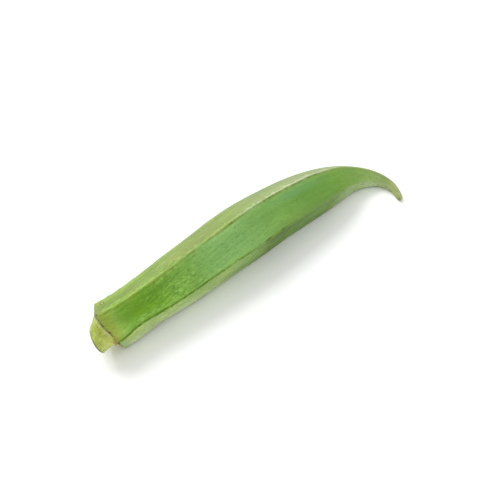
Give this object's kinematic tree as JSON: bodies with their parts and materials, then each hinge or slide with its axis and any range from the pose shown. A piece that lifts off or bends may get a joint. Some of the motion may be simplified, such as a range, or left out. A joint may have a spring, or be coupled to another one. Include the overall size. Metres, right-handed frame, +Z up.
{
  "type": "okra pod",
  "caption": "Fresh green okra pod: long, five-sided and tapering, bowed along its length with a hooked pointed tip and a short cut stem, lying on one face.",
  "frame": {"origin": "bottom centre of the pod's box, on the surface that it lies on", "axes": "+X along the pod from the cut stem to the tip, +Y towards the side that the pod bows to, +Z up from the face that it lies on"},
  "size_m": [0.1314, 0.0322, 0.0206],
  "materials": {
    "okra_skin": "matte, finely hairy plant skin"
  },
  "bodies": {
    "root": {"okra_pod": "okra_skin"}
  },
  "joints": []
}
